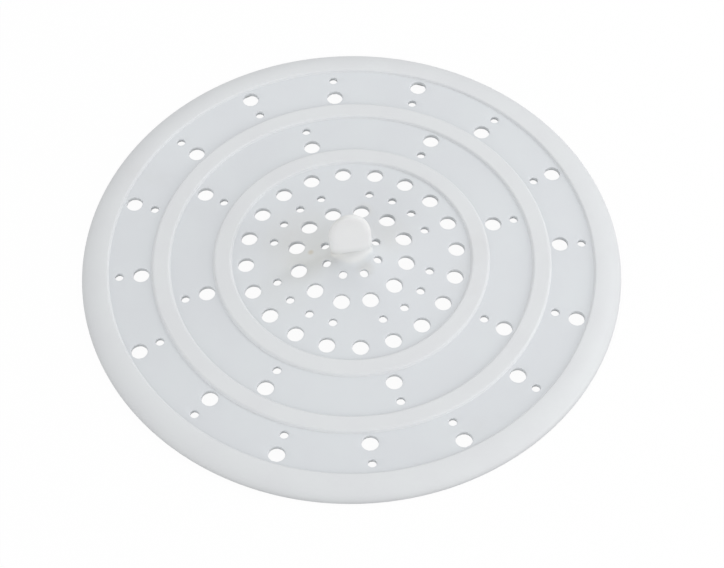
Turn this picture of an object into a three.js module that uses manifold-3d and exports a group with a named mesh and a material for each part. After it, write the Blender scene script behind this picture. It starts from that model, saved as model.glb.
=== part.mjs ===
// Silicone sink strainer: a shallow crowned disc with perforated webs between raised ribs, a bullnose
// rim that it rests on, and an upright pull tab that bends at a crease above its root.
// The real one is a single soft moulding, divided here where its thickness steps and where it bends.
// Millimetres, +Z up. The origin is the middle of the plane under the rim, and X runs along the tab's width.
import * as THREE from "three";
import { mergeVertices } from "three/addons/utils/BufferGeometryUtils.js";
import Module from "manifold-3d";

// Disc
const DISC_DIAMETER = 150;
const CROWN_RISE = 3.1; // of the panel at the hub above the webs at the rim
const PEAK_RISE = 1; // steeper part of the crown close round the hub, on top of that
const PEAK_REACH = 11.5; // how far from the hub it fades out
const WEB_THICKNESS = 1.4;
const WEB_WIDTH = 11.7; // both perforated rings
const RIB_WIDTH = 5.4;
const RIB_RISE = 0.85; // above the webs beside it
const RIB_ROUND = 0.9; // width of the rounding along each edge of a rib
const RIM_WIDTH = 7.7;
const RIM_RISE = 0.75; // above the web beside it
const RIM_DROP = 1.3; // how far the rim reaches down below that web
const RIM_STEP_ROUND = 0.75; // width of the rounded step between the web and the rim
const RIM_FOOT_ROUND = 0.5; // where the bullnose turns under to the flat seat

// Drain holes
const LARGE_HOLE = 4.6;
const SMALL_HOLE = 2.4;
const PAIR_LAND = 0.5; // web left between a large hole of a pair and the rib or rim beside it
const PANEL_LAND = 1.5; // panel left between its last row and the inner rib
const PATTERN_TURN = -4.5; // degrees from the line of the tab
const OUTER_PAIRS = 16;
const MIDDLE_PAIRS = 8;
// Rows of the centre panel. place runs from 0 beside the tab's root to 1 beside the inner rib,
// first is the angle of the first hole in steps of the row, and every skip-th hole is left out.
const PANEL_ROWS = [
  { place: 0, count: 8, first: 0.5, hole: SMALL_HOLE },
  { place: 0.36, count: 12, first: 0.5, hole: LARGE_HOLE },
  { place: 0.67, count: 20, first: 0, hole: SMALL_HOLE, skip: 5 },
  { place: 1, count: 20, first: 0, hole: LARGE_HOLE },
];

// Pull tab and its root
const TAB_WIDTH = 11.7;
const TAB_THICKNESS = 3; // its edge is a full round
const TAB_LENGTH = 15.8; // above the foot that it bends on
const TAB_ARCH = 9.5; // height of the curved top
const TAB_OVERHANG = 0.6; // how far each side of the tab stands out past its root
const ROOT_THICKNESS = 3.8;
const ROOT_HEIGHT = 1.7;
const ROOT_FLARE = 0.9; // spread of the fillet at its bottom
const ROOT_LAND = 0.2; // flat left between that fillet and the first row of holes
const CREASE_GAP = 0.3;
const CREASE_DEPTH = 0.6; // how deep the tab's foot sits in the root

// Facets
const DISC_SEGMENTS = 64;
const LARGE_HOLE_SIDES = 12;
const SMALL_HOLE_SIDES = 8;
const ROUND_STEPS = 3;
const BULLNOSE_STEPS = 5;
const CREASE_SIDES = 24;
const TAB_ARCH_STEPS = 14;
const TAB_EDGE_STEPS = 6;
const ROOT_ARC_STEPS = 8;
const PANEL_STEPS = 4;
const WEB_STEPS = 1;

const SILICONE_WEB = 0xd9dde0;
const SILICONE_THICK = 0xe2e4e5;
const SILICONE_ROUGHNESS = 0.5;

const wasm = await Module();
wasm.setup();

// Radii where the zones meet, from the edge inwards
const discRadius = DISC_DIAMETER / 2;
const rimInner = discRadius - RIM_WIDTH;
const outerRibOuter = rimInner - WEB_WIDTH;
const outerRibInner = outerRibOuter - RIB_WIDTH;
const innerRibOuter = outerRibInner - WEB_WIDTH;
const panelRadius = innerRibOuter - RIB_WIDTH;
const rootLength = TAB_WIDTH - 2 * TAB_OVERHANG;
const hubRadius = rootLength / 2 + ROOT_FLARE + ROOT_LAND;

// Levels of the root and of the line that the tab bends about
const hubUnderside = RIM_DROP + CROWN_RISE + PEAK_RISE;
const hubTop = hubUnderside + WEB_THICKNESS;
const rootTop = hubTop + ROOT_HEIGHT;
const tabFoot = rootTop - CREASE_DEPTH + CREASE_GAP;
const bendLevel = tabFoot + TAB_THICKNESS / 2;

// Parabola from a full rise at the edge of the hub to nothing, level, at the end of its reach.
function fade(rise, radius, reach) {
  const share = 1 - (radius - hubRadius) / reach;
  return rise * THREE.MathUtils.clamp(share, 0, 1) ** 2;
}

// Profile points on the underside and the upper side of the crowned disc.
function under(radius) {
  const crown = fade(CROWN_RISE, radius, rimInner - hubRadius) + fade(PEAK_RISE, radius, PEAK_REACH);
  return new THREE.Vector2(radius, RIM_DROP + crown);
}

function over(radius, rise = 0) {
  return new THREE.Vector2(radius, under(radius).y + WEB_THICKNESS + rise);
}

// Points along a line of radii, both ends included.
function spread(from, to, steps, place) {
  return Array.from({ length: steps + 1 }, (_, i) => place(THREE.MathUtils.lerp(from, to, i / steps)));
}

// A quarter of an ellipse from (0, 0) straight up and over to (width, rise).
function quarterRound(width, rise, steps) {
  return Array.from({ length: steps + 1 }, (_, i) => {
    const angle = (i / steps) * (Math.PI / 2);
    return { across: width * (1 - Math.cos(angle)), up: rise * Math.sin(angle) };
  });
}

// A ring or disc turned from a profile that closes on itself or starts and ends on the axis.
function revolve(profile) {
  return new THREE.LatheGeometry(profile, DISC_SEGMENTS).rotateX(Math.PI / 2);
}

// A closed body through rings of equally many points, capped flat on the first and last.
function loft(rings) {
  const size = rings[0].length;
  const last = (rings.length - 1) * size;
  const index = [];
  for (let ring = 0; ring < rings.length - 1; ring++) {
    for (let i = 0; i < size; i++) {
      const a = ring * size + i;
      const b = ring * size + ((i + 1) % size);
      index.push(a, b, b + size, a, b + size, a + size);
    }
  }
  for (let i = 1; i < size - 1; i++) {
    index.push(0, i + 1, i);
    index.push(last, last + i, last + i + 1);
  }
  return new THREE.BufferGeometry().setFromPoints(rings.flat()).setIndex(index);
}

function toSolid(geometry) {
  const bare = geometry.clone();
  bare.deleteAttribute("normal");
  bare.deleteAttribute("uv");
  const merged = mergeVertices(bare);
  const vertProperties = merged.attributes.position.array;
  const triVerts = new Uint32Array(merged.index.array);
  return new wasm.Manifold(new wasm.Mesh({ numProp: 3, vertProperties, triVerts }));
}

function toGeometry(solid) {
  const { vertProperties, triVerts } = solid.getMesh();
  const geometry = new THREE.BufferGeometry();
  geometry.setAttribute("position", new THREE.BufferAttribute(vertProperties, 3));
  geometry.setIndex(new THREE.BufferAttribute(triVerts, 1));
  geometry.computeVertexNormals();
  return geometry;
}

function cut(geometry, cutters) {
  return toGeometry(cutters.reduce((solid, cutter) => solid.subtract(toSolid(cutter)), toSolid(geometry)));
}

// A cutter for one drain hole, upright and tall enough to pass the whole crown.
function drainHole(diameter, radius, angle) {
  const sides = diameter > SMALL_HOLE ? LARGE_HOLE_SIDES : SMALL_HOLE_SIDES;
  return new THREE.CylinderGeometry(diameter / 2, diameter / 2, 2 * rootTop, sides)
    .rotateX(Math.PI / 2)
    .translate(radius, 0, 0)
    .rotateZ(angle + THREE.MathUtils.degToRad(PATTERN_TURN));
}

// Pairs of a large and a small hole, each on one radial line, that swap ends from one pair to the next.
function holePairs(inner, outer, count, first) {
  const inset = PAIR_LAND + LARGE_HOLE / 2;
  const rows = [inner + inset, outer - inset];
  return Array.from({ length: count }, (_, i) => {
    const angle = ((i + first) * 2 * Math.PI) / count;
    const [large, small] = i % 2 ? [rows[1], rows[0]] : rows;
    return [drainHole(LARGE_HOLE, large, angle), drainHole(SMALL_HOLE, small, angle)];
  }).flat();
}

function panelHoles() {
  const nearest = hubRadius + SMALL_HOLE / 2;
  const furthest = panelRadius - PANEL_LAND - LARGE_HOLE / 2;
  return PANEL_ROWS.flatMap(({ place, count, first, hole, skip }) => {
    const radius = THREE.MathUtils.lerp(nearest, furthest, place);
    return [...Array(count).keys()]
      .filter((i) => !skip || i % skip)
      .map((i) => drainHole(hole, radius, ((i + first) * 2 * Math.PI) / count));
  });
}

function webGeometry(inner, outer, holes) {
  const profile = [...spread(inner, outer, WEB_STEPS, under), ...spread(outer, inner, WEB_STEPS, over)];
  return cut(revolve([...profile, profile[0]]), holes);
}

function panelGeometry() {
  const bottom = [new THREE.Vector2(0, hubUnderside), ...spread(hubRadius, panelRadius, PANEL_STEPS, under)];
  const top = [...spread(panelRadius, hubRadius, PANEL_STEPS, over), new THREE.Vector2(0, hubTop)];
  return cut(revolve([...bottom, ...top]), panelHoles());
}

// Flat-topped rib with both shoulders rounded, standing on the same underside as the webs.
function ribGeometry(inner, outer) {
  const round = quarterRound(RIB_ROUND, RIB_RISE, ROUND_STEPS);
  const outerShoulder = round.map(({ across, up }) => over(outer - across, up));
  const innerShoulder = round.map(({ across, up }) => over(inner + across, up)).reverse();
  return revolve([under(inner), under(outer), ...outerShoulder, ...innerShoulder, under(inner)]);
}

// Rim with a flat seat, a bullnose that falls away over its whole width, and a step down to the outer web.
function rimGeometry() {
  const top = RIM_DROP + WEB_THICKNESS + RIM_RISE;
  const seat = [new THREE.Vector2(rimInner, 0), new THREE.Vector2(discRadius - RIM_FOOT_ROUND, 0)];
  const noseWidth = RIM_WIDTH - RIM_STEP_ROUND;
  const bullnose = quarterRound(noseWidth, top - RIM_FOOT_ROUND, BULLNOSE_STEPS).map(
    ({ across, up }) => new THREE.Vector2(discRadius - across, RIM_FOOT_ROUND + up),
  );
  const step = quarterRound(RIM_STEP_ROUND, RIM_RISE, ROUND_STEPS)
    .slice(0, -1)
    .map(({ across, up }) => over(rimInner + across, up))
    .reverse();
  return revolve([...seat, ...bullnose, ...step, under(rimInner), seat[0]]);
}

// Long round-ended outline lying flat at a height, grown by an offset all round.
function rootOutline(offset, height) {
  const end = ROOT_THICKNESS / 2 + offset;
  const reach = (rootLength - ROOT_THICKNESS) / 2;
  return [1, -1].flatMap((side) =>
    Array.from({ length: ROOT_ARC_STEPS + 1 }, (_, i) => {
      const angle = Math.PI * (i / ROOT_ARC_STEPS - 0.5);
      const x = side * (reach + end * Math.cos(angle));
      return new THREE.Vector3(x, side * end * Math.sin(angle), height);
    }),
  );
}

// Root that sweeps up out of the hub in a concave fillet, hollowed on top for the tab's round foot.
function rootGeometry() {
  const fillet = quarterRound(ROOT_HEIGHT, ROOT_FLARE, ROUND_STEPS);
  const body = loft(fillet.map(({ across, up }) => rootOutline(ROOT_FLARE - up, hubTop + across)));
  const hollow = TAB_THICKNESS / 2 + CREASE_GAP;
  const groove = new THREE.CylinderGeometry(hollow, hollow, 2 * TAB_WIDTH, CREASE_SIDES)
    .rotateZ(Math.PI / 2)
    .translate(0, 0, bendLevel);
  return cut(body, [groove]);
}

// Outline of the tab seen from the front, drawn in from its edge by an inset: square foot, arched top.
function tabOutline(inset, y) {
  const half = TAB_WIDTH / 2 - inset;
  const spring = tabFoot + TAB_LENGTH - TAB_ARCH;
  const arch = Array.from({ length: TAB_ARCH_STEPS + 1 }, (_, i) => {
    const angle = (Math.PI * i) / TAB_ARCH_STEPS;
    const z = spring + (TAB_ARCH - inset) * Math.sin(angle);
    return new THREE.Vector3(half * Math.cos(angle), y, z);
  });
  const foot = [-half, half].map((x) => new THREE.Vector3(x, y, tabFoot + inset));
  return [...arch, ...foot];
}

// Tab whose edge is rounded over its whole thickness, so that its foot is a half round about the bend.
function tabGeometry() {
  const radius = TAB_THICKNESS / 2;
  const rings = Array.from({ length: TAB_EDGE_STEPS + 1 }, (_, i) => {
    const angle = (Math.PI * i) / TAB_EDGE_STEPS;
    return tabOutline(radius * (1 - Math.sin(angle)), radius * Math.cos(angle));
  });
  return loft(rings);
}

function piece(name, geometry, color) {
  const material = new THREE.MeshStandardMaterial({ color, roughness: SILICONE_ROUGHNESS, metalness: 0 });
  const mesh = new THREE.Mesh(geometry, material);
  mesh.name = name;
  return mesh;
}

const outerHoles = holePairs(outerRibOuter, rimInner, OUTER_PAIRS, 0);
const middleHoles = holePairs(innerRibOuter, outerRibInner, MIDDLE_PAIRS, 0.25);

const strainer = new THREE.Group();
strainer.add(
  piece("outer_rim", rimGeometry(), SILICONE_THICK),
  piece("outer_web", webGeometry(outerRibOuter, rimInner, outerHoles), SILICONE_WEB),
  piece("outer_rib", ribGeometry(outerRibInner, outerRibOuter), SILICONE_THICK),
  piece("middle_web", webGeometry(innerRibOuter, outerRibInner, middleHoles), SILICONE_WEB),
  piece("inner_rib", ribGeometry(panelRadius, innerRibOuter), SILICONE_THICK),
  piece("centre_panel", panelGeometry(), SILICONE_WEB),
  piece("tab_root", rootGeometry(), SILICONE_THICK),
  piece("pull_tab", tabGeometry(), SILICONE_THICK),
);

export default strainer;
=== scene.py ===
"""The looks of a white silicone sink strainer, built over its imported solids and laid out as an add-on.

Lengths are metres and +Z is up. The disc is turned about Z, and X runs along the width of the pull tab.
"""
import math
from collections import namedtuple

import bmesh
import bpy
import numpy as np
from bpy.props import FloatProperty, FloatVectorProperty, IntProperty, PointerProperty
from mathutils import Matrix, Vector


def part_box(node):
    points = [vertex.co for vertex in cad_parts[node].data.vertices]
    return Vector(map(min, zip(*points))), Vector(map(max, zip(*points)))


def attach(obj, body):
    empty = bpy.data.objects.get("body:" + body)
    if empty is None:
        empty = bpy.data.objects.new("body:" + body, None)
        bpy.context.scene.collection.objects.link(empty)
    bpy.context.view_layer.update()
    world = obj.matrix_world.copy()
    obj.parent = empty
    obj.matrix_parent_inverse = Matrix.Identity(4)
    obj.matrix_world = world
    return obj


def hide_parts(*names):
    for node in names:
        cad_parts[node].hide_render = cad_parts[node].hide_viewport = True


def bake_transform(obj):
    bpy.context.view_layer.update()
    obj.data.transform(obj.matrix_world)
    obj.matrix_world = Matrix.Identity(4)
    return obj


bl_info = {
    "name": "Sink strainer",
    "version": (1, 0, 0),
    "blender": (4, 5, 0),
    "location": "View3D > Sidebar > Strainer",
    "description": "Builds the silicone skin of a sink strainer over its frame, and a studio stage",
    "category": "Add Mesh",
}

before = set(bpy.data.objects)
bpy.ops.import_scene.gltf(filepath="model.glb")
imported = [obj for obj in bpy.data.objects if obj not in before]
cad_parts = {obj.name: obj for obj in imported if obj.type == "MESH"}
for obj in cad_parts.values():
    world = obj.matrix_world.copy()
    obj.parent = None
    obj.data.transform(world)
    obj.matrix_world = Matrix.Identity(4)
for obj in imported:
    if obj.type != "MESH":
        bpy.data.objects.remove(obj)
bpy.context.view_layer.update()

MM = 0.001
FULL_TURN = 2 * math.pi

# Facets
AROUND = 240  # points on every circle of the disc, which all the hole counts divide
SIDE_STEPS = 10  # along the side that two tiles share
LAND_STEPS = 4  # from the rim of a hole to the edge of its tile
EDGE_STEPS = 3  # over the rounded edge of a hole
HUB_STEPS = 6
RIB_TOP_STEPS = 6
SHOULDER_STEPS = 10
FILLET_STEPS = 4
NOSE_STEPS = 28
FOOT_STEPS = 5
TAB_ARC_STEPS = 16  # round the full-round edge of the tab
TAB_FACE_STEPS = 12
TAB_FOOT_STEPS = 10
TAB_SIDE_STEPS = 6
TAB_ARCH_STEPS = 36
FLARE_STEPS = 10
SMOOTH_ANGLE = math.radians(38)
WELD = 1e-7

# Finish
UPRIGHT = "upright"  # attribute that tells how upright the skin stands
WALL_UPRIGHT = (0.45, 0.9)  # from none to all of a hole's wall, where its painted light comes in
FACE_UPRIGHT = (0.1, 0.8)  # from none to all of the tab's face, where its painted light comes in
THIN_CLOUDS = 55.0
THICK_CLOUDS = 80.0
CLOUD_RANGE = (0.38, 0.64)
SPECK_SIZE = (0.012, 0.04)  # in cells of the texture
SPECK_CHANCE = (0.72, 0.98)
SPECK_SHARE = 0.6
SMUDGE_RANGE = (0.62, 0.8)
SMUDGE_SHARE = 0.06
SOIL_AND_SHADE_RANGE = (0.15, 1.0)  # where soil and painted shade start to run out and where they end, in reaches
PATCHY_RANGE = (0.3, 0.7)
PATCHY_SCALE = 160.0
PATCHY_LEAST = 0.75
GRAIN_SHARE = 0.12  # of the grain in the height of the skin
SKIN_DEPTH = 0.05 * MM
GLOSS_RANGE = (0.3, 0.7)
ROUGHNESS_SWING = 0.04
SILICONE_IOR = 1.41
MIX_COLOURS = (6, 7)  # sockets of a mix node that are colours
MIXED_COLOUR = 2


def outer_radius(node):
    """Outer radius of a ring, from its box, which is centred on the axis."""
    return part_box(node)[1].x


# Where the zones of the disc meet, and their levels
DISC_RADIUS = outer_radius("outer_rim")
RIM_INNER = outer_radius("outer_web")
OUTER_RIB_OUTER = outer_radius("outer_rib")
OUTER_RIB_INNER = outer_radius("middle_web")
INNER_RIB_OUTER = outer_radius("inner_rib")
PANEL_RADIUS = outer_radius("centre_panel")
WEB_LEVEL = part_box("outer_web")[0].z  # underside of the outer web beside the rim
RIM_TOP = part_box("outer_rim")[1].z
HUB_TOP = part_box("tab_root")[0].z
ROOT_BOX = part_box("tab_root")
TAB_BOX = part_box("pull_tab")

# A square soft lamp turned to the strainer. At level 1 it shows a white face that is turned to it as white.
Lamp = namedtuple("Lamp", "name azimuth elevation size level")
LAMP_DISTANCE = 0.75
LAMPS = (
    Lamp("key", math.radians(14), math.radians(42), 0.12, 0.14),
    Lamp("right", math.radians(-22), math.radians(16), 0.3, 0.25),
    Lamp("front_right", math.radians(-54), math.radians(20), 0.55, 0.14),
    Lamp("front_left", math.radians(216), math.radians(20), 0.55, 0.275),
    Lamp("back", math.radians(81), math.radians(50), 0.55, 0.185),
)

FLOOR_RADIUS = 8.0
FLOOR_CORNERS = 64
FLOOR_DROP = 0.05 * MM  # keeps the floor clear of the seat
FLOOR_PAINT = 0.95  # shade of the floor that is seen
FLOOR_BOUNCE = 0.22  # shade of the floor that lights the strainer
SENSOR_WIDTH = 36  # of the camera, in millimetres
CLIP_START = 0.01

# Darkening round a place on the panel, run out at its reach: partly real soil rubbed in, partly painted
# shade and painted shadow of the tab round its foot. tint is what it leaves of the colour.
SoilAndShade = namedtuple("SoilAndShade", "x y reach tint")
SOIL_AND_SHADE = (
    # The first, second and fourth to seventh spots are painted shade and painted shadow round the tab, with
    # a warm tint of soil; the third, a smear, and the last, a speck, are real soil.
    SoilAndShade(-12 * MM, 6 * MM, 17 * MM, (0.97, 0.955, 0.925)),
    SoilAndShade(11 * MM, 5 * MM, 10 * MM, (0.97, 0.955, 0.94)),
    SoilAndShade(5.7 * MM, 14.7 * MM, 4 * MM, (0.97, 0.95, 0.91)),
    SoilAndShade(-13.5 * MM, -2.5 * MM, 7 * MM, (0.955, 0.95, 0.935)),
    SoilAndShade(-20 * MM, -8 * MM, 12 * MM, (0.98, 0.975, 0.965)),
    SoilAndShade(-7 * MM, 0.5 * MM, 6 * MM, (0.96, 0.95, 0.93)),
    SoilAndShade(3 * MM, -6 * MM, 3.5 * MM, (0.955, 0.94, 0.91)),
    SoilAndShade(-11 * MM, 2.4 * MM, 1.2 * MM, (0.88, 0.8, 0.68)),
)

# A row of tiles with one hole in the middle of each. bores holds a diameter per tile, and 0 is a tile
# without a hole. first is the place of the first hole, in tiles.
HoleRow = namedtuple("HoleRow", "inner outer radius bores first")

# A web with hole pairs. first is the place of the first pair, in pairs. A pair takes up so many tiles that
# every line from a hole to the edge of its tile stays inside the tile.
Web = namedtuple("Web", "inner outer first tiles")
OUTER_WEB = Web(OUTER_RIB_OUTER, RIM_INNER, 0.0, 1)
MIDDLE_WEB = Web(INNER_RIB_OUTER, OUTER_RIB_INNER, 0.25, 3)

# A row of holes in the panel. place runs from 0 at the root to 1 at the inner rib, first is as in HoleRow,
# and every skip-th tile is plain unless skip is 0.
PanelRow = namedtuple("PanelRow", "place large count first skip")
PANEL_ROWS = (
    PanelRow(0, False, 8, 0.5, 0),
    PanelRow(0.36, True, 12, 0.5, 0),
    PanelRow(0.67, False, 20, 0, 5),
    PanelRow(1, True, 20, 0, 0),
)


class DiscSettings(bpy.types.PropertyGroup):
    """Sizes of the turned disc that its zones' boxes don't give."""

    web_thickness: FloatProperty(
        name="Web thickness", description="Wall of the perforated webs", default=1.4 * MM, unit="LENGTH"
    )
    hub_land: FloatProperty(
        name="Hub land", description="Flat left round the flare of the root", default=0.2 * MM, unit="LENGTH"
    )
    hub_blend: FloatProperty(
        name="Hub blend", description="Softness of the crown at the hub", default=1.2 * MM, unit="LENGTH"
    )
    peak_rise: FloatProperty(
        name="Peak rise", description="Steep share of the crown at the hub", default=1 * MM, unit="LENGTH"
    )
    peak_reach: FloatProperty(
        name="Peak reach", description="How far that steep part runs out", default=11.5 * MM, unit="LENGTH"
    )
    rib_rise: FloatProperty(
        name="Rib rise", description="Height of the ribs over the webs", default=0.85 * MM, unit="LENGTH"
    )
    rib_round: FloatProperty(
        name="Rib round", description="Width of each shoulder of a rib", default=0.9 * MM, unit="LENGTH"
    )
    step_round: FloatProperty(
        name="Step round", description="Width of the step to the rim", default=0.75 * MM, unit="LENGTH"
    )
    fillet: FloatProperty(
        name="Fillet", description="Radius where a shoulder meets its web", default=0.25 * MM, unit="LENGTH"
    )
    foot_round: FloatProperty(
        name="Foot round", description="Radius under the rim's outer edge", default=0.5 * MM, unit="LENGTH"
    )
    saddle: FloatProperty(
        name="Saddle", description="Bend of the soft webs up at two sides", default=0.45 * MM, unit="LENGTH"
    )
    saddle_turn: FloatProperty(
        name="Saddle turn", description="Side where they bend up", default=math.radians(13), subtype="ANGLE"
    )
    sag: FloatProperty(
        name="Sag", description="How much lower the webs hang on one side", default=0.28 * MM, unit="LENGTH"
    )
    sag_turn: FloatProperty(
        name="Sag turn", description="Side where they hang lower", default=math.radians(116), subtype="ANGLE"
    )
    lie_run: FloatProperty(
        name="Lie run", description="Width over which both start at the hub", default=8 * MM, unit="LENGTH"
    )


class HoleSettings(bpy.types.PropertyGroup):
    """Sizes and pattern of the drain holes."""

    large: FloatProperty(
        name="Large hole", description="Diameter of the large drain holes", default=4.6 * MM, unit="LENGTH"
    )
    small: FloatProperty(
        name="Small hole", description="Diameter of the small drain holes", default=2.4 * MM, unit="LENGTH"
    )
    edge_round: FloatProperty(
        name="Edge round", description="Rounding of both edges of a hole", default=0.16 * MM, unit="LENGTH"
    )
    pair_land: FloatProperty(
        name="Pair land", description="Web between a large hole and its rib", default=0.5 * MM, unit="LENGTH"
    )
    panel_land: FloatProperty(
        name="Panel land", description="Panel outside its last row", default=1.5 * MM, unit="LENGTH"
    )
    pattern_turn: FloatProperty(
        name="Pattern turn", description="Turn from the tab", default=math.radians(-4.5), subtype="ANGLE"
    )
    outer_pairs: IntProperty(name="Outer pairs", description="Pairs in the outer web", default=16, min=2)
    middle_pairs: IntProperty(name="Middle pairs", description="Pairs in the middle web", default=8, min=2)


class TabSettings(bpy.types.PropertyGroup):
    """Sizes of the pull tab and its root that their boxes don't give."""

    arch: FloatProperty(
        name="Arch", description="Height of the curved top", default=9.5 * MM, unit="LENGTH"
    )
    pad_rise: FloatProperty(
        name="Pad rise", description="Height of the crease over the hub", default=1.1 * MM, unit="LENGTH"
    )
    crease: FloatProperty(
        name="Crease", description="Depth of the crease under the tab", default=0.6 * MM, unit="LENGTH"
    )
    foot_rise: FloatProperty(
        name="Foot rise", description="Height that draws in to the crease", default=3.5 * MM, unit="LENGTH"
    )
    tip: FloatProperty(
        name="Tip", description="Half the thickness at the top of the arch", default=0.9 * MM, unit="LENGTH"
    )
    edge_width: FloatProperty(
        name="Edge width", description="Width of the round edge on the face", default=2.4 * MM, unit="LENGTH"
    )
    edge_power: FloatProperty(
        name="Edge power", description="1 is elliptic, less is squarer", default=0.8, min=0.4, max=1
    )
    lean: FloatProperty(
        name="Lean", description="Tab's lean to one side", default=math.radians(3), subtype="ANGLE"
    )
    sink: FloatProperty(
        name="Sink", description="How deep the root reaches into the hub", default=0.6 * MM, unit="LENGTH"
    )
    bend: FloatProperty(
        name="Bend", description="Height over which the tab bends", default=4 * MM, unit="LENGTH"
    )


class SiliconeSettings(bpy.types.PropertyGroup):
    """Colours and finish of the silicone."""

    web_colour: FloatVectorProperty(
        name="Web colour", description="Thin silicone", default=(0.695, 0.721, 0.743), subtype="COLOR"
    )
    thick_colour: FloatVectorProperty(
        name="Thick colour", description="Rim and ribs", default=(0.727, 0.745, 0.758), subtype="COLOR"
    )
    # painted light: the root is lighter than the web, to lift it out of its shade
    root_lit_colour: FloatVectorProperty(
        name="Root colour", description="Root of the tab", default=(0.772, 0.782, 0.782), subtype="COLOR"
    )
    # painted light: the walls of the holes are lighter than the web
    hole_wall_lit_colour: FloatVectorProperty(
        name="Edge colour", description="Walls of the holes", default=(0.805, 0.83, 0.85), subtype="COLOR"
    )
    # painted light: the tab's standing faces, lighter than the rim and ribs
    tab_face_lit_colour: FloatVectorProperty(
        name="Tab colour", description="Pull tab", default=(0.88, 0.881, 0.878), subtype="COLOR"
    )
    cloud_tint: FloatVectorProperty(
        name="Cloud tint", description="Shade of the clouds", default=(0.985, 0.98, 0.985), subtype="COLOR"
    )
    mark_colour: FloatVectorProperty(
        name="Mark colour", description="Smudges and specks", default=(0.34, 0.3, 0.24), subtype="COLOR"
    )
    roughness: FloatProperty(
        name="Roughness", description="Satin of the skin", default=0.48, min=0, max=1, subtype="FACTOR"
    )


class StageSettings(bpy.types.PropertyGroup):
    """Camera and light."""

    azimuth: FloatProperty(
        name="Azimuth", description="Camera's turn about Z", default=math.radians(-9.2), subtype="ANGLE"
    )
    elevation: FloatProperty(
        name="Elevation", description="Camera's height angle", default=math.radians(56.236), subtype="ANGLE"
    )
    roll: FloatProperty(
        name="Roll", description="Camera's lean", default=math.radians(0.335), subtype="ANGLE"
    )
    distance: FloatProperty(
        name="Distance", description="From the camera to the disc", default=577.8 * MM, unit="LENGTH"
    )
    pan: FloatVectorProperty(
        name="Pan", description="Shift right and up", default=(2.88 * MM, -6.34 * MM), size=2, unit="LENGTH"
    )
    aim_height: FloatProperty(
        name="Aim height", description="Level the camera turns about", default=2.05 * MM, unit="LENGTH"
    )
    lens: FloatProperty(name="Lens", description="Focal length in millimetres", default=103.23)
    lamp_level: FloatProperty(name="Lamp level", description="Common share of the lamps", default=1.0, min=0)
    ambient: FloatProperty(name="Ambient", description="Light from all round", default=0.568)
    floor_glow: FloatProperty(
        name="Floor glow", description="Share of plain white in the floor", default=0.96, subtype="FACTOR"
    )


class StrainerSettings(bpy.types.PropertyGroup):
    """All settings of the strainer."""

    disc: PointerProperty(type=DiscSettings, name="Disc", description="Turned disc")
    holes: PointerProperty(type=HoleSettings, name="Holes", description="Drain holes")
    tab: PointerProperty(type=TabSettings, name="Tab", description="Pull tab")
    silicone: PointerProperty(type=SiliconeSettings, name="Silicone", description="Finish")
    stage: PointerProperty(type=StageSettings, name="Stage", description="Camera and light")


# Meshes


def grid_quads(rows, columns, wrap):
    """Corner numbers of the quads of a grid of points, which closes along its columns if wrap is set."""
    corner = np.arange(rows * columns).reshape(rows, columns)
    if wrap:
        corner = np.concatenate([corner, corner[:, :1]], axis=1)
    quads = [corner[:-1, :-1], corner[:-1, 1:], corner[1:, 1:], corner[1:, :-1]]
    return np.stack(quads, axis=-1).reshape(-1, 4)


def patch(points, wrap):
    """A surface patch as (points, quads). points is a grid (rows, columns, 3) or a stack of such grids."""
    grids = points.reshape(-1, *points.shape[-3:])
    count, rows, columns = grids.shape[:3]
    quads = grid_quads(rows, columns, wrap)
    shift = np.arange(count)[:, None, None] * (rows * columns)
    return grids.reshape(-1, 3), (quads[None] + shift).reshape(-1, 4)


def weld(patches):
    """Joins patches into one set of points and triangles. Points that coincide become one, and triangles
    that lose a corner by it are dropped."""
    points = np.concatenate([p for p, _ in patches])
    starts = np.cumsum([0] + [len(p) for p, _ in patches[:-1]])
    quads = np.concatenate([q + start for (_, q), start in zip(patches, starts)])
    _, first, number = np.unique(np.round(points / WELD), axis=0, return_index=True, return_inverse=True)
    quads = number.reshape(-1)[quads]
    triangles = np.concatenate([quads[:, [0, 1, 2]], quads[:, [0, 2, 3]]])
    a, b, c = triangles.T
    whole = (a != b) & (b != c) & (c != a)
    return points[first], triangles[whole]


def add_piece(context, name, patches, material):
    """Links a closed piece made of patches, with its faces turned outwards and its rounds shaded smooth, and
    notes how upright its skin stands."""
    points, triangles = weld(patches)
    mesh = bpy.data.meshes.new(name)
    mesh.from_pydata(points.tolist(), [], triangles.tolist())
    shell = bmesh.new()
    shell.from_mesh(mesh)
    bmesh.ops.recalc_face_normals(shell, faces=shell.faces)
    open_edges = sum(not edge.is_manifold for edge in shell.edges)
    shell.to_mesh(mesh)
    shell.free()
    if open_edges:
        raise RuntimeError(f"{name} isn't closed: {open_edges} edges don't join two faces")
    normals = np.empty(points.size, np.float32)
    mesh.vertices.foreach_get("normal", normals)
    upright = mesh.attributes.new(UPRIGHT, "FLOAT", "POINT")
    upright.data.foreach_set("value", 1 - np.abs(normals[2::3]))
    mesh.shade_smooth()
    mesh.set_sharp_from_angle(angle=SMOOTH_ANGLE)
    mesh.materials.append(material)
    piece = bpy.data.objects.new(name, mesh)
    context.scene.collection.objects.link(piece)
    return piece


# Shape of the disc


def crown(disc, radius):
    """Height of the disc over its level at the rim. Two parabolas fall from the hub and run out level, a
    wide one at the rim and a steep one a short way out. A hyperbola softens the corner where they start."""
    hub = ROOT_BOX[1].x + disc.hub_land
    past = radius - hub
    run = (past + np.hypot(past, disc.hub_blend)) / 2
    rise = HUB_TOP - disc.web_thickness - WEB_LEVEL
    wide = np.clip(1 - run / (RIM_INNER - hub), 0, 1) ** 2
    steep = np.clip(1 - run / disc.peak_reach, 0, 1) ** 2
    return (rise - disc.peak_rise) * wide + disc.peak_rise * steep


def under(disc, radius):
    """Level of the disc's underside."""
    return WEB_LEVEL + crown(disc, radius)


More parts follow.
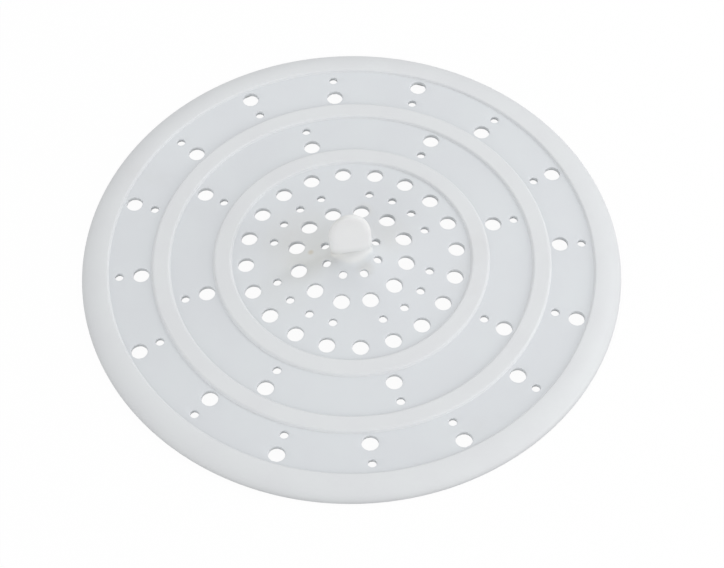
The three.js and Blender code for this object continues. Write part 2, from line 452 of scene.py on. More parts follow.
def over(disc, radius):
    """Level of the upper side of the webs."""
    return under(disc, radius) + disc.web_thickness


def eased(share):
    """Shares from 0 to 1 that start and end slowly."""
    return share**2 * (3 - 2 * share)


def soft_lie(disc, patches):
    """Patches of the soft webs and ribs as they lie: a saddle, up at two opposite sides and down between
    them, with one side hanging lower. It eases in from the hub and out at the rim, which stay level."""
    moved = []
    for points, quads in patches:
        radius = np.hypot(points[:, 0], points[:, 1])
        angle = np.arctan2(points[:, 1], points[:, 0])
        past_hub = np.clip((radius - ROOT_BOX[1].x - disc.hub_land) / disc.lie_run, 0, 1)
        to_rim = np.clip((RIM_INNER - radius) / (RIM_INNER - OUTER_RIB_OUTER), 0, 1)
        rise = disc.saddle * np.cos(2 * (angle - disc.saddle_turn))
        rise -= disc.sag * np.cos(angle - disc.sag_turn)
        rise *= eased(past_hub) * eased(to_rim)
        moved.append((points + rise[:, None] * [0, 0, 1], quads))
    return moved


def hole_lean(disc, radius):
    """How far a hole's upper edge moves outwards, because the hole is square to the crowned wall."""
    step = 0.1 * MM
    slope = (crown(disc, radius + step) - crown(disc, radius - step)) / (2 * step)
    return -slope * disc.web_thickness / 2


def polar(radius, angle, level):
    """Points from radii, angles and levels of one shape."""
    radius, angle, level = np.broadcast_arrays(radius, angle, level)
    return np.stack([radius * np.cos(angle), radius * np.sin(angle), level], axis=-1)


def turned(profile, start):
    """A profile of (radius, level) rows carried round the axis from the angle start."""
    angle = start + np.arange(AROUND) * (FULL_TURN / AROUND)
    return patch(polar(profile[:, :1], angle[None], profile[:, 1:]), wrap=True)


def quarter(width, rise, steps):
    """A quarter of an ellipse from (0, 0), straight up at first and level at (width, rise)."""
    angle = np.linspace(0, math.pi / 2, steps + 1)
    return np.stack([width * (1 - np.cos(angle)), rise * np.sin(angle)], axis=-1)


def step_profile(disc, width, rise):
    """Profile of a moulded step, as (across, up): a small hollow fillet out of the web, then a quarter of an
    ellipse up to the level top."""
    hollow = np.linspace(0, math.pi / 2, FILLET_STEPS + 1)[:-1]
    foot = disc.fillet * np.stack([np.sin(hollow), 1 - np.cos(hollow)], axis=-1)
    top = quarter(width - disc.fillet, rise - disc.fillet, SHOULDER_STEPS) + disc.fillet
    return np.concatenate([foot, top])


def closed(rows):
    """A profile that ends where it starts."""
    return np.concatenate([rows, rows[:1]])


def rib_profile(disc, inner, outer):
    """Section of a rib: the crowned underside, two shoulders and a level top between them."""
    base = np.linspace(inner, outer, RIB_TOP_STEPS + 1)
    step = step_profile(disc, disc.rib_round, disc.rib_rise)
    top = np.linspace(outer - disc.rib_round, inner + disc.rib_round, RIB_TOP_STEPS + 1)[1:-1]
    radius = np.concatenate([outer - step[:, 0], top, (inner + step[:, 0])[::-1]])
    rise = np.concatenate([step[:, 1], np.full(len(top), disc.rib_rise), step[::-1, 1]])
    upper = np.stack([radius, over(disc, radius) + rise], axis=-1)
    lower = np.stack([base, under(disc, base)], axis=-1)
    return closed(np.concatenate([lower, upper]))


def rim_profile(disc):
    """Section of the rim: flat seat, rounded foot, a bullnose of a quarter of an ellipse, and the step down
    to the web."""
    foot = disc.foot_round
    arc = quarter(foot, foot, FOOT_STEPS)
    outer_foot = np.stack([DISC_RADIUS - foot + arc[:, 1], arc[:, 0]], axis=-1)
    inner_foot = np.stack([RIM_INNER + foot - arc[:, 1], arc[:, 0]], axis=-1)[::-1]
    nose = quarter(DISC_RADIUS - RIM_INNER - disc.step_round, RIM_TOP - foot, NOSE_STEPS)
    bullnose = np.stack([DISC_RADIUS - nose[:, 0], foot + nose[:, 1]], axis=-1)
    web_top = over(disc, RIM_INNER)
    step = step_profile(disc, disc.step_round, RIM_TOP - web_top)
    inner_step = np.stack([RIM_INNER + step[:, 0], web_top + step[:, 1]], axis=-1)[::-1]
    return closed(np.concatenate([outer_foot[:-1], bullnose[:-1], inner_step, inner_foot]))


# Perforated zones


def tile_outline(row):
    """Plan of a tile's edge about the X axis, as points: out along one side, round, back in and round."""
    half = math.pi / len(row.bores)
    arc_steps = AROUND // len(row.bores)
    sweep = np.linspace(-half, half, arc_steps + 1)
    climb = np.linspace(row.inner, row.outer, SIDE_STEPS + 1)
    sides = np.full(SIDE_STEPS, half)
    arcs = np.ones(arc_steps)
    angle = np.concatenate([-sides, sweep[:-1], sides, sweep[:0:-1]])
    radius = np.concatenate([climb[:-1], row.outer * arcs, climb[:0:-1], row.inner * arcs])
    return np.stack([radius * np.cos(angle), radius * np.sin(angle)], axis=-1)


def tile_places(holes, row):
    """Angle of the middle of every tile of a row."""
    return (np.arange(len(row.bores)) + row.first) * FULL_TURN / len(row.bores) + holes.pattern_turn


def spin(plan, angle):
    """Plan points turned about the axis, one angle for each entry of the first dimension."""
    shape = (-1,) + (1,) * (plan.ndim - 2)
    cosine = np.cos(angle).reshape(shape)
    sine = np.sin(angle).reshape(shape)
    x, y = plan[..., 0], plan[..., 1]
    return np.stack([x * cosine - y * sine, x * sine + y * cosine], axis=-1)


def tile_face(disc, holes, row, bores, side):
    """One face of the drilled tiles, side 1 above and -1 below. On every ray from the hole's centre to the
    tile's edge the points first follow the quarter round at the hole, then run straight out to the edge."""
    edge = tile_outline(row)
    ray = edge - [row.radius, 0]
    ray /= np.linalg.norm(ray, axis=-1, keepdims=True)
    arc = quarter(holes.edge_round, holes.edge_round, EDGE_STEPS)
    reach = bores[:, None] / 2 + arc[:, 0]
    centre = np.array([row.radius + side * hole_lean(disc, row.radius), 0])
    lip = centre + reach[:, :, None, None] * ray
    share = np.linspace(0, 1, LAND_STEPS + 1)[1:, None, None]
    land = lip[:, -1:] + share * (edge - lip[:, -1:])
    plan = np.concatenate([lip, land], axis=1)
    drop = np.concatenate([holes.edge_round - arc[:, 1], np.zeros(LAND_STEPS)])[:, None]
    radius = np.linalg.norm(plan, axis=-1)
    level = (over if side > 0 else under)(disc, radius) - side * drop
    return plan, level


def drilled_tiles(disc, holes, row):
    """The tiles of a row that have a hole: both faces and the wall of the hole between them."""
    bores = np.array(row.bores)
    drilled = bores > 0
    faces = [tile_face(disc, holes, row, bores[drilled], side) for side in (1, -1)]
    plan = np.concatenate([faces[0][0][:, ::-1], faces[1][0]], axis=1)
    level = np.concatenate([faces[0][1][:, ::-1], faces[1][1]], axis=1)
    placed = spin(plan, tile_places(holes, row)[drilled])
    return patch(np.concatenate([placed, level[..., None]], axis=-1), wrap=True)


def plain_tiles(disc, holes, row):
    """The plain tiles of a row: the same ring sector as a grid of radii and angles, on both faces."""
    count = len(row.bores)
    places = tile_places(holes, row)[np.array(row.bores) == 0]
    sweep = np.linspace(-math.pi / count, math.pi / count, AROUND // count + 1)
    radius = np.linspace(row.inner, row.outer, SIDE_STEPS + 1)[None, :, None]
    angle = places[:, None, None] + sweep[None, None]
    return [patch(polar(radius, angle, level(disc, radius)), wrap=False) for level in (over, under)]


def row_patches(disc, holes, row):
    """All tiles of a row."""
    patches = [drilled_tiles(disc, holes, row)]
    if 0 in row.bores:
        patches += plain_tiles(disc, holes, row)
    return patches


def row_start(holes, row):
    """Angle of the first tile edge of a row, where the points of its circles start."""
    return tile_places(holes, row)[0] - math.pi / len(row.bores)


def ring_wall(disc, radius, start):
    """The upright wall of a zone at a radius, between its two faces."""
    return turned(np.array([[radius, over(disc, radius)], [radius, under(disc, radius)]]), start)


def pair_rows(holes, web, count):
    """Two rows of tiles for hole pairs on radial lines, which swap the large and the small hole every time.
    All but one of a pair's tiles are plain."""
    inset = holes.pair_land + holes.large / 2
    middle = (web.inner + web.outer) / 2
    plain = [0] * (web.tiles - 1)
    bores = [holes.large, *plain, holes.small, *plain] * (count // 2)
    swapped = bores[web.tiles:] + bores[:web.tiles]
    first = web.first * web.tiles
    return [
        HoleRow(web.inner, middle, web.inner + inset, bores, first),
        HoleRow(middle, web.outer, web.outer - inset, swapped, first),
    ]


def web_patches(disc, holes, web, count):
    """A perforated web: its two rows of tiles and the walls at its ribs."""
    rows = pair_rows(holes, web, count)
    start = row_start(holes, rows[0])
    patches = [part for row in rows for part in row_patches(disc, holes, row)]
    return patches + [ring_wall(disc, radius, start) for radius in (web.inner, web.outer)]


def panel_bores(holes, row):
    """Diameter of the hole in every tile of a row of the panel."""
    bore = holes.large if row.large else holes.small
    return [0 if row.skip and place % row.skip == 0 else bore for place in range(row.count)]


def panel_rows(disc, holes):
    """The rows of the centre panel, from the tab outwards. The tile edges between two rows lie halfway
    between the rims of their holes."""
    nearest = ROOT_BOX[1].x + disc.hub_land + holes.small / 2
    furthest = PANEL_RADIUS - holes.panel_land - holes.large / 2
    radii = nearest + (furthest - nearest) * np.array([row.place for row in PANEL_ROWS])
    bores = [panel_bores(holes, row) for row in PANEL_ROWS]
    reach = np.array([max(row) / 2 for row in bores])
    between = (radii[:-1] + reach[:-1] + radii[1:] - reach[1:]) / 2
    edges = [nearest - holes.small, *between, PANEL_RADIUS]
    firsts = [row.first for row in PANEL_ROWS]
    return [HoleRow(*row) for row in zip(edges[:-1], edges[1:], radii, bores, firsts)]


def panel_patches(disc, holes):
    """The crowned panel: a plain hub, its rows of tiles and the wall at the inner rib."""
    rows = panel_rows(disc, holes)
    start = row_start(holes, rows[0])
    hub = np.linspace(0, rows[0].inner, HUB_STEPS + 1)
    patches = [turned(np.stack([hub, level(disc, hub)], axis=-1), start) for level in (over, under)]
    patches += [part for row in rows for part in row_patches(disc, holes, row)]
    return patches + [ring_wall(disc, PANEL_RADIUS, start)]


# Tab


def tab_stations(tab):
    """Half width, half thickness and level of the tab, from the crease up to where the arch starts. The
    foot stands out over the crease on a quarter of an ellipse."""
    crease_z = HUB_TOP + tab.pad_rise
    foot_up, foot_out = quarter(tab.foot_rise, tab.crease, TAB_FOOT_STEPS).T
    side_z = np.linspace(crease_z + tab.foot_rise, TAB_BOX[1].z - tab.arch, TAB_SIDE_STEPS + 1)[1:]
    drawn_in = np.concatenate([tab.crease - foot_out, np.zeros(TAB_SIDE_STEPS)])
    return TAB_BOX[1].x - drawn_in, TAB_BOX[1].y - drawn_in, np.concatenate([crease_z + foot_up, side_z])


def tab_rings(tab):
    """Closed rings of the tab: round its right edge on half of a superellipse, along a flat face, round the
    left edge and back. In the arch the outline and the edges of the faces are ellipses, and the tab thins to
    its tip. All of it leans a little to one side about the crease."""
    wide, thick, level = tab_stations(tab)
    tab_x, tab_y = TAB_BOX[1].x, TAB_BOX[1].y
    spring = TAB_BOX[1].z - tab.arch
    turn = np.linspace(0, math.pi, TAB_ARC_STEPS + 1)
    drawn_in = tab.edge_width * (1 - np.abs(np.sin(turn)) ** tab.edge_power)
    aside = np.sign(np.cos(turn)) * np.abs(np.cos(turn)) ** tab.edge_power
    lower_x = wide[:, None] - drawn_in
    lower_z = np.repeat(level[:, None], len(turn), axis=1)
    climb = np.linspace(0, math.pi / 2, TAB_ARCH_STEPS + 1)[1:, None]
    arch_thick = tab_y + (tab.tip - tab_y) * eased(np.sin(climb))
    arch_x = (tab_x - drawn_in) * np.cos(climb)
    arch_z = spring + (tab.arch - drawn_in) * np.sin(climb)
    x = np.concatenate([lower_x, arch_x])
    z = np.concatenate([lower_z, arch_z])
    y = np.concatenate([thick[:, None], arch_thick]) * aside
    right = np.stack([x, y, z], axis=-1)
    left = right[:, ::-1] * [-1, 1, 1]
    share = np.linspace(0, 1, TAB_FACE_STEPS + 1)[None, 1:-1, None]
    back = right[:, -1:] + share * (left[:, :1] - right[:, -1:])
    front = left[:, -1:] + share * (right[:, :1] - left[:, -1:])
    rings = np.concatenate([right, back, left, front], axis=1)
    across, up = rings[..., 0].copy(), rings[..., 2] - level[0]
    rings[..., 0] = across * math.cos(tab.lean) - up * math.sin(tab.lean)
    rings[..., 2] = level[0] + across * math.sin(tab.lean) + up * math.cos(tab.lean)
    return rings


def pad_rings(disc, tab, neck):
    """Rings of the root: a round pad whose outline turns from a circle on the hub into the ring neck in the
    crease, while it climbs in a smooth step. It starts inside the hub."""
    radius = ROOT_BOX[1].x
    plan = neck[:, :2]
    toe = plan / np.linalg.norm(plan, axis=-1, keepdims=True) * radius
    climb = np.linspace(0, 1, FLARE_STEPS + 1)[:, None, None]
    hub = over(disc, radius)
    pad = np.concatenate([toe + (plan - toe) * climb, hub + (neck[:, 2:] - hub) * eased(climb)], axis=-1)
    sunk = pad[:1] - [0, 0, tab.sink]
    return np.concatenate([sunk, pad])


def tab_patches(disc, tab):
    """The skin of the root and the tab, and a flat underside that closes it inside the hub."""
    blade = tab_rings(tab)
    rings = np.concatenate([pad_rings(disc, tab, blade[0])[:-1], blade])
    foot = rings[0]
    middle = np.broadcast_to([0, 0, foot[0, 2]], foot.shape)
    return [patch(rings, wrap=True), patch(np.stack([middle, foot]), wrap=True)]


# Finish


def new_group(name, inputs, outputs):
    """An empty shader node group that takes a vector and the given inputs, which come with defaults."""
    group = bpy.data.node_groups.new(name, "ShaderNodeTree")
    for label, default in {"Vector": (0, 0, 0), **inputs}.items():
        kind = "NodeSocketVector" if isinstance(default, tuple) else "NodeSocketFloat"
        socket = group.interface.new_socket(label, in_out="INPUT", socket_type=kind)
        socket.default_value = default
    for label in outputs:
        group.interface.new_socket(label, in_out="OUTPUT", socket_type="NodeSocketFloat")
    return group, group.nodes.new("NodeGroupInput"), group.nodes.new("NodeGroupOutput")


def feed(tree, socket, value):
    """Links an input to an output, or sets it to a plain value."""
    if isinstance(value, bpy.types.NodeSocket):
        tree.links.new(value, socket)
    else:
        socket.default_value = value


def noise(tree, vector, scale, detail):
    """A noise texture on a vector."""
    node = tree.nodes.new("ShaderNodeTexNoise")
    for label, value in zip(("Vector", "Scale", "Detail"), (vector, scale, detail)):
        feed(tree, node.inputs[label], value)
    return node.outputs["Fac"]


def remap(tree, value, span, onto=(0.0, 1.0)):
    """A span of values stretched onto another, clamped at both ends and eased."""
    node = tree.nodes.new("ShaderNodeMapRange")
    node.interpolation_type = "SMOOTHSTEP"
    labels = ("Value", "From Min", "From Max", "To Min", "To Max")
    for label, number in zip(labels, (value, *span, *onto)):
        feed(tree, node.inputs[label], number)
    return node.outputs["Result"]


def math_node(tree, operation, *values):
    """A math node with numbers or links as its operands."""
    node = tree.nodes.new("ShaderNodeMath")
    node.operation = operation
    for socket, value in zip(node.inputs, values):
        feed(tree, socket, value)
    return node.outputs[0]


def clouds_group(name):
    """Soft clouds in the moulding, where the silicone is a little denser."""
    group, given, made = new_group(name, {"Scale": 60.0}, ["Clouds"])
    broad = noise(group, given.outputs["Vector"], given.outputs["Scale"], detail=3.0)
    group.links.new(remap(group, broad, CLOUD_RANGE), made.inputs["Clouds"])
    return group


def marks_group(name):
    """Marks of handling: sparse specks, in some cells of a Voronoi texture, and faint smudges."""
    scales = {"Speck Scale": 70.0, "Smudge Scale": 45.0}
    group, given, made = new_group(name, scales, ["Specks", "Smudges"])
    cells = group.nodes.new("ShaderNodeTexVoronoi")
    group.links.new(given.outputs["Vector"], cells.inputs["Vector"])
    group.links.new(given.outputs["Speck Scale"], cells.inputs["Scale"])
    chance = group.nodes.new("ShaderNodeSeparateColor")
    group.links.new(cells.outputs["Color"], chance.inputs["Color"])
    dot = remap(group, cells.outputs["Distance"], SPECK_SIZE, (1.0, 0.0))
    chosen = remap(group, chance.outputs["Red"], SPECK_CHANCE)
    group.links.new(math_node(group, "MULTIPLY", dot, chosen), made.inputs["Specks"])
    smear = noise(group, given.outputs["Vector"], given.outputs["Smudge Scale"], detail=4.0)
    group.links.new(remap(group, smear, SMUDGE_RANGE), made.inputs["Smudges"])
    return group


def soil_and_shade_group(name):
    """Darkening round a spot, partly soil rubbed in and partly painted shade: full in the middle, run out at
    its reach, and a little patchy.
    """
    group, given, made = new_group(name, {"Spot": (0, 0, 0), "Reach": 0.015}, ["SoilAndShade"])
    flat = group.nodes.new("ShaderNodeVectorMath")
    flat.operation = "MULTIPLY"
    flat.inputs[1].default_value = (1, 1, 0)
    group.links.new(given.outputs["Vector"], flat.inputs[0])
    away = group.nodes.new("ShaderNodeVectorMath")
    away.operation = "DISTANCE"
    group.links.new(flat.outputs["Vector"], away.inputs[0])
    group.links.new(given.outputs["Spot"], away.inputs[1])
    share = math_node(group, "DIVIDE", away.outputs["Value"], given.outputs["Reach"])
    broken = noise(group, given.outputs["Vector"], PATCHY_SCALE, detail=2.0)
    patchy = remap(group, broken, PATCHY_RANGE, (PATCHY_LEAST, 1.0))
    soil_and_shade = math_node(group, "MULTIPLY", remap(group, share, SOIL_AND_SHADE_RANGE, (1.0, 0.0)), patchy)
    group.links.new(soil_and_shade, made.inputs["SoilAndShade"])
    return group


def skin_group(name):
    """The mould's skin: a fine grain and a slow wave, as a height and as a change of gloss."""
    scales = {"Grain Scale": 3500.0, "Wave Scale": 130.0}
    group, given, made = new_group(name, scales, ["Height", "Gloss"])
    grain = noise(group, given.outputs["Vector"], given.outputs["Grain Scale"], detail=2.0)
    wave = noise(group, given.outputs["Vector"], given.outputs["Wave Scale"], detail=1.0)
    height = math_node(group, "MULTIPLY_ADD", grain, GRAIN_SHARE, wave)
    group.links.new(height, made.inputs["Height"])
    gloss = math_node(group, "MULTIPLY_ADD", grain, 0.5, math_node(group, "MULTIPLY", wave, 0.5))
    group.links.new(gloss, made.inputs["Gloss"])
    return group


def place_group(tree, name, build, **values):
    """A node group placed in a material and fed with values. It is built the first time it is asked for."""
    node = tree.nodes.new("ShaderNodeGroup")
    node.node_tree = bpy.data.node_groups.get(name) or build(name)
    for label, value in values.items():
        feed(tree, node.inputs[label.title()], value)
    return node


def mix_colour(tree, share, below, above, way="MIX"):
    """Two colours mixed by a share, in one of the mix node's ways. Each is a link or a plain colour."""
    node = tree.nodes.new("ShaderNodeMix")
    node.data_type = "RGBA"
    node.blend_type = way
    tree.links.new(share, node.inputs["Factor"])
    for number, colour in zip(MIX_COLOURS, (below, above)):
        linked = isinstance(colour, bpy.types.NodeSocket)
        feed(tree, node.inputs[number], colour if linked else (*colour, 1.0))
    return node.outputs[MIXED_COLOUR]


def soiled_and_shaded(tree, place, colour):
    """A colour with the soil and painted shade of every place laid over it."""
    for soil_and_shade in SOIL_AND_SHADE:
        spot = (soil_and_shade.x, soil_and_shade.y, 0)
        rubbed = place_group(tree, "rubbed_soil_and_painted_shade", soil_and_shade_group, vector=place, spot=spot, reach=soil_and_shade.reach)
        colour = mix_colour(tree, rubbed.outputs["SoilAndShade"], colour, soil_and_shade.tint, "MULTIPLY")
    return colour


def upright_share(tree, span):
    """How upright the skin stands, as a share of a span."""
    stands = tree.nodes.new("ShaderNodeAttribute")
    stands.attribute_name = UPRIGHT
    return remap(tree, stands.outputs["Fac"], span)


def silicone(settings, name, colour, cloud_scale, thin=False):
    """Satin silicone, clouded, with a few specks and smudges and a finely grained, uneven skin. Where it is
    thin it is darkened in spots, partly by soil and partly by painted shade, and the walls of its holes are
    painted lighter, as painted light for light that comes through them."""
    known = bpy.data.materials.get(name)
    if known:
        return known
    material = bpy.data.materials.new(name)
    material.use_nodes = True
    tree = material.node_tree
    shader = tree.nodes["Principled BSDF"]
    place = tree.nodes.new("ShaderNodeTexCoord").outputs["Object"]
    clouds = place_group(tree, "moulding_clouds", clouds_group, vector=place, scale=cloud_scale)
    marks = place_group(tree, "handling_marks", marks_group, vector=place)
    skin = place_group(tree, "mould_skin", skin_group, vector=place)
    cloud = [shade * tint for shade, tint in zip(colour, settings.cloud_tint)]
    base = mix_colour(tree, clouds.outputs["Clouds"], colour, cloud)
    if thin:
        # soil and painted shade round the tab
        base = soiled_and_shaded(tree, place, base)
        # painted light on the upright walls of the holes
        base = mix_colour(tree, upright_share(tree, WALL_UPRIGHT), base, settings.hole_wall_lit_colour)
    for label, share in (("Smudges", SMUDGE_SHARE), ("Specks", SPECK_SHARE)):
        marked = math_node(tree, "MULTIPLY", marks.outputs[label], share)
        base = mix_colour(tree, marked, base, settings.mark_colour)
    tree.links.new(base, shader.inputs["Base Color"])
    swing = (settings.roughness - ROUGHNESS_SWING, settings.roughness + ROUGHNESS_SWING)
    rough = remap(tree, skin.outputs["Gloss"], GLOSS_RANGE, swing)
    tree.links.new(rough, shader.inputs["Roughness"])
    shader.inputs["IOR"].default_value = SILICONE_IOR
    bump = tree.nodes.new("ShaderNodeBump")
    bump.inputs["Distance"].default_value = SKIN_DEPTH
    tree.links.new(skin.outputs["Height"], bump.inputs["Height"])
    tree.links.new(bump.outputs["Normal"], shader.inputs["Normal"])
    return material


def thin_silicone(settings):
    """Silicone of the webs, which looks a little cold because it is thin."""
    return silicone(settings, "thin_silicone", settings.web_colour, THIN_CLOUDS, thin=True)


def thick_silicone(settings):
    """Silicone of the rim and the ribs."""
    return silicone(settings, "thick_silicone", settings.thick_colour, THICK_CLOUDS)


def tab_silicone(settings, tab):
    """Silicone of the tab. Its foot fades to the colour of the root, and that to the panel with its soil and
    painted shade. The root colour is lighter than the web as painted light, and the fade up the foot is
    painted shade at the crease. Only the standing faces have the tab's lighter colour, painted light for
    light that comes through them, so the top of the arch is painted darker."""
    material = silicone(settings, "tab_silicone", settings.tab_face_lit_colour, THICK_CLOUDS)
    tree = material.node_tree
    skin = tree.nodes["Principled BSDF"].inputs["Base Color"]
    place = tree.nodes["Texture Coordinate"].outputs["Object"]
    level = tree.nodes.new("ShaderNodeSeparateXYZ")
    tree.links.new(place, level.inputs["Vector"])
    crease = HUB_TOP + tab.pad_rise
    on_pad = remap(tree, level.outputs["Z"], (HUB_TOP, HUB_TOP + tab.pad_rise / 2))
    # painted light: the lighter root colour, with soil and painted shade over it
    pad = soiled_and_shaded(tree, place, mix_colour(tree, on_pad, settings.web_colour, settings.root_lit_colour))
    # painted shade: the lit face colour comes in only above the foot and where the skin stands upright, so
    # the foot and the top of the arch stay darker
    above = remap(tree, level.outputs["Z"], (crease, crease + tab.foot_rise))
    lit = math_node(tree, "MULTIPLY", above, upright_share(tree, FACE_UPRIGHT))
    tree.links.new(mix_colour(tree, lit, pad, skin.links[0].from_socket), skin)
    return material


# Stage


def seen_rays(tree):
    """1 for rays by which cameras, mirrors and glass see a thing, 0 for light that it throws."""
    path = tree.nodes.new("ShaderNodeLightPath")
    seen = math_node(tree, "MAXIMUM", path.outputs["Is Camera Ray"], path.outputs["Is Glossy Ray"])
    return math_node(tree, "MAXIMUM", seen, path.outputs["Is Transmission Ray"])


def floor_material(glow):
    """Floor that is seen as nearly plain white, with a little of its real shade, and that throws less light
    back up at the strainer than it shows."""
    material = bpy.data.materials.new("pale_floor")
    material.use_nodes = True
    tree = material.node_tree
    tree.nodes.clear()
    seen = seen_rays(tree)
    paint = tree.nodes.new("ShaderNodeBsdfDiffuse")
    shade = math_node(tree, "MULTIPLY_ADD", seen, FLOOR_PAINT - FLOOR_BOUNCE, FLOOR_BOUNCE)
    tree.links.new(shade, paint.inputs["Color"])
    white = tree.nodes.new("ShaderNodeEmission")
    blend = tree.nodes.new("ShaderNodeMixShader")
    plain = math_node(tree, "MULTIPLY", seen, glow)
    for socket, given in zip(blend.inputs, (plain, paint.outputs["BSDF"], white.outputs["Emission"])):
        tree.links.new(given, socket)
    output = tree.nodes.new("ShaderNodeOutputMaterial")
    tree.links.new(blend.outputs["Shader"], output.inputs["Surface"])
    return material


def add_floor(context, stage):
    """A wide disc just under the strainer."""
    rim = np.arange(FLOOR_CORNERS) * (FULL_TURN / FLOOR_CORNERS)
    points = polar(FLOOR_RADIUS, rim, -FLOOR_DROP)
    mesh = bpy.data.meshes.new("floor")
    mesh.from_pydata(points.tolist(), [], [list(range(FLOOR_CORNERS))])
    mesh.materials.append(floor_material(stage.floor_glow))
    floor = bpy.data.objects.new("floor", mesh)
    context.scene.collection.objects.link(floor)


def set_world(context, ambient):
    """Even light from all round. The background itself is white."""
    world = bpy.data.worlds.new("studio")
    world.use_nodes = True
    tree = world.node_tree
    strength = math_node(tree, "MULTIPLY_ADD", seen_rays(tree), 1 - ambient, ambient)
    tree.links.new(strength, tree.nodes["Background"].inputs["Strength"])
    tree.nodes["Background"].inputs["Color"].default_value = (1, 1, 1, 1)
    context.scene.world = world


def add_lamp(context, lamp, share):
    """A square soft light, turned to the strainer."""
    light = bpy.data.lights.new(lamp.name, "AREA")
    light.size = lamp.size
    light.energy = share * lamp.level * (math.pi * LAMP_DISTANCE) ** 2
    holder = bpy.data.objects.new(lamp.name, light)
    level = math.cos(lamp.elevation)
    x, y = level * math.cos(lamp.azimuth), level * math.sin(lamp.azimuth)
    aside = Vector((x, y, math.sin(lamp.elevation)))
    holder.location = LAMP_DISTANCE * aside
    holder.rotation_euler = (-aside).to_track_quat("-Z", "Y").to_euler()
    context.scene.collection.objects.link(holder)


def add_camera(context, stage):
    """A camera turned round and up about the disc's axis, leaned about its own line of sight and panned."""
    camera = bpy.data.cameras.new("camera")
    camera.lens = stage.lens
    camera.sensor_width = SENSOR_WIDTH
    camera.clip_start = CLIP_START
    facing = Matrix.Rotation(stage.azimuth, 3, "Z") @ Matrix.Rotation(math.pi / 2 - stage.elevation, 3, "X")
    pan = facing @ Vector((*stage.pan, stage.distance))
    leaning = facing @ Matrix.Rotation(-stage.roll, 3, "Z")
    holder = bpy.data.objects.new("camera", camera)
    holder.matrix_world = Matrix.Translation(pan + Vector((0, 0, stage.aim_height))) @ leaning.to_4x4()
    context.scene.collection.objects.link(holder)
    context.scene.camera = holder


# Operators


def settle(piece, node):
    """Rides a piece on the disc in place of its solid."""
    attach(piece, "strainer")
    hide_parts(node)


class STRAINER_OT_rim(bpy.types.Operator):
    """Add the bullnose rim that the strainer rests on"""

    bl_idname = "strainer.rim"
    bl_label = "Rim"

    def execute(self, context):
        given = context.scene.strainer
        start = -math.pi / AROUND + given.holes.pattern_turn
        patches = [turned(rim_profile(given.disc), start)]
        piece = add_piece(context, "bullnose_rim", patches, thick_silicone(given.silicone))
        settle(piece, "outer_rim")
        return {"FINISHED"}


class STRAINER_OT_ribs(bpy.types.Operator):
    """Add the two raised ribs"""

    bl_idname = "strainer.ribs"
    bl_label = "Ribs"

    def execute(self, context):
        given = context.scene.strainer
        start = -math.pi / AROUND + given.holes.pattern_turn
        ribs = [
            ("outer_raised_rib", "outer_rib", OUTER_RIB_INNER, OUTER_RIB_OUTER),
            ("inner_raised_rib", "inner_rib", PANEL_RADIUS, INNER_RIB_OUTER),
        ]
        for name, node, inner, outer in ribs:
            patches = soft_lie(given.disc, [turned(rib_profile(given.disc, inner, outer), start)])
            piece = add_piece(context, name, patches, thick_silicone(given.silicone))
            settle(piece, node)
        return {"FINISHED"}


class STRAINER_OT_webs(bpy.types.Operator):
    """Add the two thin webs with their pairs of drain holes"""

    bl_idname = "strainer.webs"
    bl_label = "Webs"

    def execute(self, context):
        given = context.scene.strainer
        webs = [
            ("outer_thin_web", "outer_web", OUTER_WEB, given.holes.outer_pairs),
            ("middle_thin_web", "middle_web", MIDDLE_WEB, given.holes.middle_pairs),
        ]
        for name, node, web, count in webs:
            patches = soft_lie(given.disc, web_patches(given.disc, given.holes, web, count))
            piece = add_piece(context, name, patches, thin_silicone(given.silicone))
            settle(piece, node)
        return {"FINISHED"}


class STRAINER_OT_panel(bpy.types.Operator):
    """Add the crowned centre panel with its rows of drain holes"""

    bl_idname = "strainer.panel"
    bl_label = "Centre panel"

    def execute(self, context):
        given = context.scene.strainer
        patches = soft_lie(given.disc, panel_patches(given.disc, given.holes))
        piece = add_piece(context, "crowned_panel", patches, thin_silicone(given.silicone))
        settle(piece, "centre_panel")
        return {"FINISHED"}


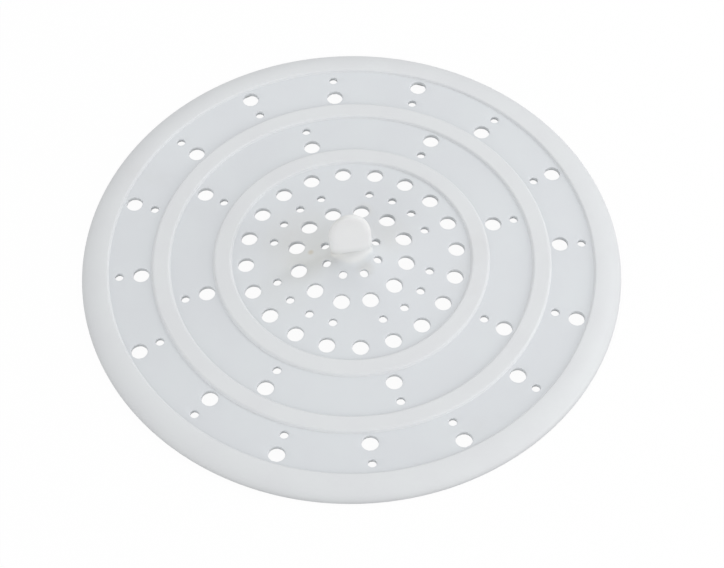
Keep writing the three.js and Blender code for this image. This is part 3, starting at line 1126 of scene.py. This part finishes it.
class STRAINER_OT_tab(bpy.types.Operator):
    """Add the pull tab with its root, as one skin"""

    bl_idname = "strainer.tab"
    bl_label = "Pull tab"

    def execute(self, context):
        given = context.scene.strainer
        patches = tab_patches(given.disc, given.tab)
        piece = add_piece(context, "tab_and_root", patches, tab_silicone(given.silicone, given.tab))
        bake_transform(piece)
        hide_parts("tab_root", "pull_tab")
        return {"FINISHED"}


class STRAINER_OT_stage(bpy.types.Operator):
    """Add the floor, the light and the camera"""

    bl_idname = "strainer.stage"
    bl_label = "Stage"

    def execute(self, context):
        stage = context.scene.strainer.stage
        add_floor(context, stage)
        set_world(context, stage.ambient)
        for lamp in LAMPS:
            add_lamp(context, lamp, stage.lamp_level)
        add_camera(context, stage)
        context.scene.view_settings.view_transform = "Standard"
        return {"FINISHED"}


class STRAINER_PT_sidebar(bpy.types.Panel):
    """Lists the strainer's pieces and settings"""

    bl_idname = "STRAINER_PT_sidebar"
    bl_label = "Sink strainer"
    bl_space_type = "VIEW_3D"
    bl_region_type = "UI"
    bl_category = "Strainer"

    def draw(self, context):
        given = context.scene.strainer
        for operator in OPERATORS:
            self.layout.operator(operator.bl_idname)
        for group in (given.disc, given.holes, given.tab, given.silicone, given.stage):
            box = self.layout.box()
            for name in group.__annotations__:
                box.prop(group, name)


OPERATORS = (
    STRAINER_OT_rim,
    STRAINER_OT_ribs,
    STRAINER_OT_webs,
    STRAINER_OT_panel,
    STRAINER_OT_tab,
    STRAINER_OT_stage,
)
SETTINGS = (DiscSettings, HoleSettings, TabSettings, SiliconeSettings, StageSettings, StrainerSettings)
CLASSES = (*SETTINGS, *OPERATORS, STRAINER_PT_sidebar)


def register():
    for cls in CLASSES:
        bpy.utils.register_class(cls)
    bpy.types.Scene.strainer = PointerProperty(
        type=StrainerSettings, name="Strainer", description="Sink strainer"
    )


def unregister():
    del bpy.types.Scene.strainer
    for cls in reversed(CLASSES):
        bpy.utils.unregister_class(cls)


def main():
    """Builds the strainer and its stage."""
    register()
    bpy.ops.strainer.rim()
    bpy.ops.strainer.ribs()
    bpy.ops.strainer.webs()
    bpy.ops.strainer.panel()
    bpy.ops.strainer.tab()
    bpy.ops.strainer.stage()


if __name__ == "__main__":
    main()
